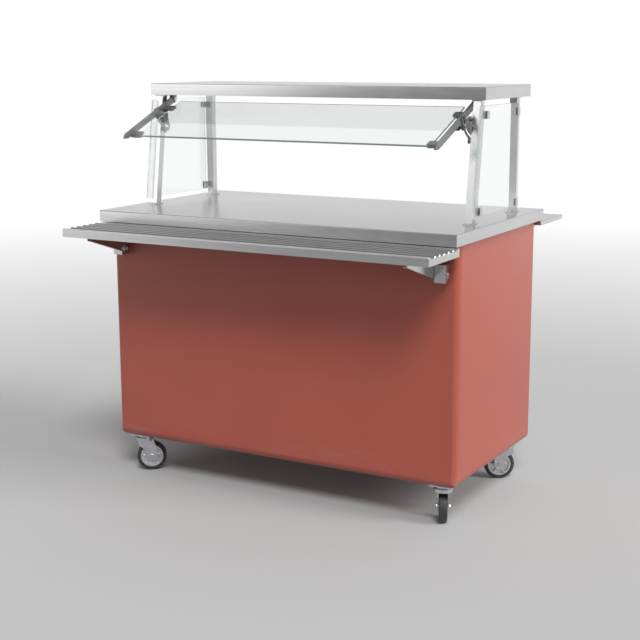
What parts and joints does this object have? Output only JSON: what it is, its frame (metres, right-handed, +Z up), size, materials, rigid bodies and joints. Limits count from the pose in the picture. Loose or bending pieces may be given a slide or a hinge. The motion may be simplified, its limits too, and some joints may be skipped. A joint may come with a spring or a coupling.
{
  "type": "mobile serving counter",
  "caption": "Mobile serving counter with a solid stainless top, moulded body, overhead shelf, tilting glass guard and fold-down shelves.",
  "frame": {"origin": "on the floor under the middle of the object's box, which is also under the middle of the counter top", "axes": "+X to the customer's right along the counter, +Y from the customer side to the operator side, +Z up"},
  "size_m": [1.284, 1.096, 1.321],
  "materials": {
    "stainless": "brushed stainless sheet",
    "moulded_body": "smooth moulded fibreglass, satin",
    "fastener": "bright plated steel",
    "clear_glass": "clear, polished edges",
    "grey_metal": "grey satin plating",
    "knob_plastic": "fine grain",
    "zinc": "zinc-plated pressed steel",
    "hub_metal": "cast, satin",
    "tyre": "matt black",
    "pedal_metal": "black, worn"
  },
  "bodies": {
    "counter": {"body_shell": "moulded_body", "base_channels": "stainless", "base_deck": "stainless", "inner_shelf": "stainless", "inner_shelf_rails": "stainless", "rear_header": "stainless", "body_bolts": "fastener", "countertop": "stainless", "top_channels": "stainless", "fold_brackets": "stainless", "fold_pins": "fastener", "post_front_left": "stainless", "post_front_right": "stainless", "post_rear_left": "stainless", "post_rear_right": "stainless", "post_screws": "fastener", "overhead_shelf": "stainless", "overhead_soffit": "stainless", "overhead_channels": "stainless", "end_glass_left": "clear_glass", "end_glass_right": "clear_glass", "end_glass_clips": "fastener", "guard_pivot_brackets": "grey_metal", "guard_pivot_pins": "fastener", "guard_quadrants": "grey_metal", "caster_plates": "zinc", "caster_ball_races": "fastener", "caster_bolts": "fastener"},
    "tray": {"tray_slide": "stainless", "tray_stiffeners": "stainless", "tray_arm_left": "stainless", "tray_arm_right": "stainless"},
    "rear_shelf": {"work_shelf": "stainless", "work_shelf_arm_left": "stainless", "work_shelf_arm_right": "stainless"},
    "guard": {"guard_glass": "clear_glass", "guard_arm_left": "grey_metal", "guard_arm_right": "grey_metal", "guard_clamps": "grey_metal", "guard_clamp_bolts": "fastener"},
    "knob_left": {"guard_knob_left": "knob_plastic"},
    "knob_right": {"guard_knob_right": "knob_plastic"},
    "caster_front_left": {"caster_fork_front_left": "zinc", "caster_axle_front_left": "fastener"},
    "wheel_front_left": {"wheel_hub_front_left": "hub_metal", "tyre_front_left": "tyre"},
    "caster_front_right": {"caster_fork_front_right": "zinc", "caster_axle_front_right": "fastener"},
    "wheel_front_right": {"wheel_hub_front_right": "hub_metal", "tyre_front_right": "tyre"},
    "caster_rear_left": {"caster_fork_rear_left": "zinc", "caster_axle_rear_left": "fastener"},
    "wheel_rear_left": {"wheel_hub_rear_left": "hub_metal", "tyre_rear_left": "tyre"},
    "caster_rear_right": {"caster_fork_rear_right": "zinc", "caster_axle_rear_right": "fastener"},
    "wheel_rear_right": {"wheel_hub_rear_right": "hub_metal", "tyre_rear_right": "tyre"},
    "pedal_front_right": {"brake_pedal_front_right": "pedal_metal"},
    "pedal_rear_left": {"brake_pedal_rear_left": "pedal_metal"}
  },
  "joints": [
    {"name": "tray_fold", "type": "hinge", "parent": "counter", "child": "tray", "pos_m": [0, -0.328, 0.79], "axis": [1, 0, 0], "range_deg": [0, 90]},
    {"name": "rear_shelf_fold", "type": "hinge", "parent": "counter", "child": "rear_shelf", "pos_m": [0, 0.344, 0.79], "axis": [-1, 0, 0], "range_deg": [0, 90]},
    {"name": "guard_tilt", "type": "hinge", "parent": "counter", "child": "guard", "pos_m": [0, -0.0435, 1.268], "axis": [1, 0, 0], "range_deg": [-16, 36]},
    {"name": "guard_knob_left_turn", "type": "hinge", "parent": "guard", "child": "knob_left", "pos_m": [-0.54, -0.12347, 1.20796], "axis": [1, 0, 0], "continuous": true},
    {"name": "guard_knob_right_turn", "type": "hinge", "parent": "guard", "child": "knob_right", "pos_m": [0.54, -0.12347, 1.20796], "axis": [1, 0, 0], "continuous": true},
    {"name": "caster_front_left_swivel", "type": "hinge", "parent": "counter", "child": "caster_front_left", "pos_m": [-0.565, -0.25, 0.11], "axis": [0, 0, 1], "continuous": true},
    {"name": "wheel_front_left_spin", "type": "hinge", "parent": "caster_front_left", "child": "wheel_front_left", "pos_m": [-0.54766, -0.23645, 0.051], "axis": [-0.6157, 0.788, 0], "continuous": true},
    {"name": "caster_front_right_swivel", "type": "hinge", "parent": "counter", "child": "caster_front_right", "pos_m": [0.565, -0.25, 0.11], "axis": [0, 0, 1], "continuous": true},
    {"name": "wheel_front_right_spin", "type": "hinge", "parent": "caster_front_right", "child": "wheel_front_right", "pos_m": [0.55605, -0.2299, 0.051], "axis": [-0.9135, -0.4067, 0], "continuous": true},
    {"name": "brake_pedal_front_right_press", "type": "hinge", "parent": "caster_front_right", "child": "pedal_front_right", "pos_m": [0.53816, -0.18971, 0.089], "axis": [-0.9135, -0.4067, 0], "range_deg": [0, 8]},
    {"name": "caster_rear_left_swivel", "type": "hinge", "parent": "counter", "child": "caster_rear_left", "pos_m": [-0.565, 0.266, 0.11], "axis": [0, 0, 1], "continuous": true},
    {"name": "wheel_rear_left_spin", "type": "hinge", "parent": "caster_rear_left", "child": "wheel_rear_left", "pos_m": [-0.54698, 0.27862, 0.051], "axis": [-0.5736, 0.8192, 0], "continuous": true},
    {"name": "brake_pedal_rear_left_press", "type": "hinge", "parent": "caster_rear_left", "child": "pedal_rear_left", "pos_m": [-0.51094, 0.30386, 0.089], "axis": [-0.5736, 0.8192, 0], "range_deg": [0, 8]},
    {"name": "caster_rear_right_swivel", "type": "hinge", "parent": "counter", "child": "caster_rear_right", "pos_m": [0.565, 0.266, 0.11], "axis": [0, 0, 1], "continuous": true},
    {"name": "wheel_rear_right_spin", "type": "hinge", "parent": "caster_rear_right", "child": "wheel_rear_right", "pos_m": [0.54595, 0.255, 0.051], "axis": [0.5, -0.866, 0], "continuous": true}
  ]
}
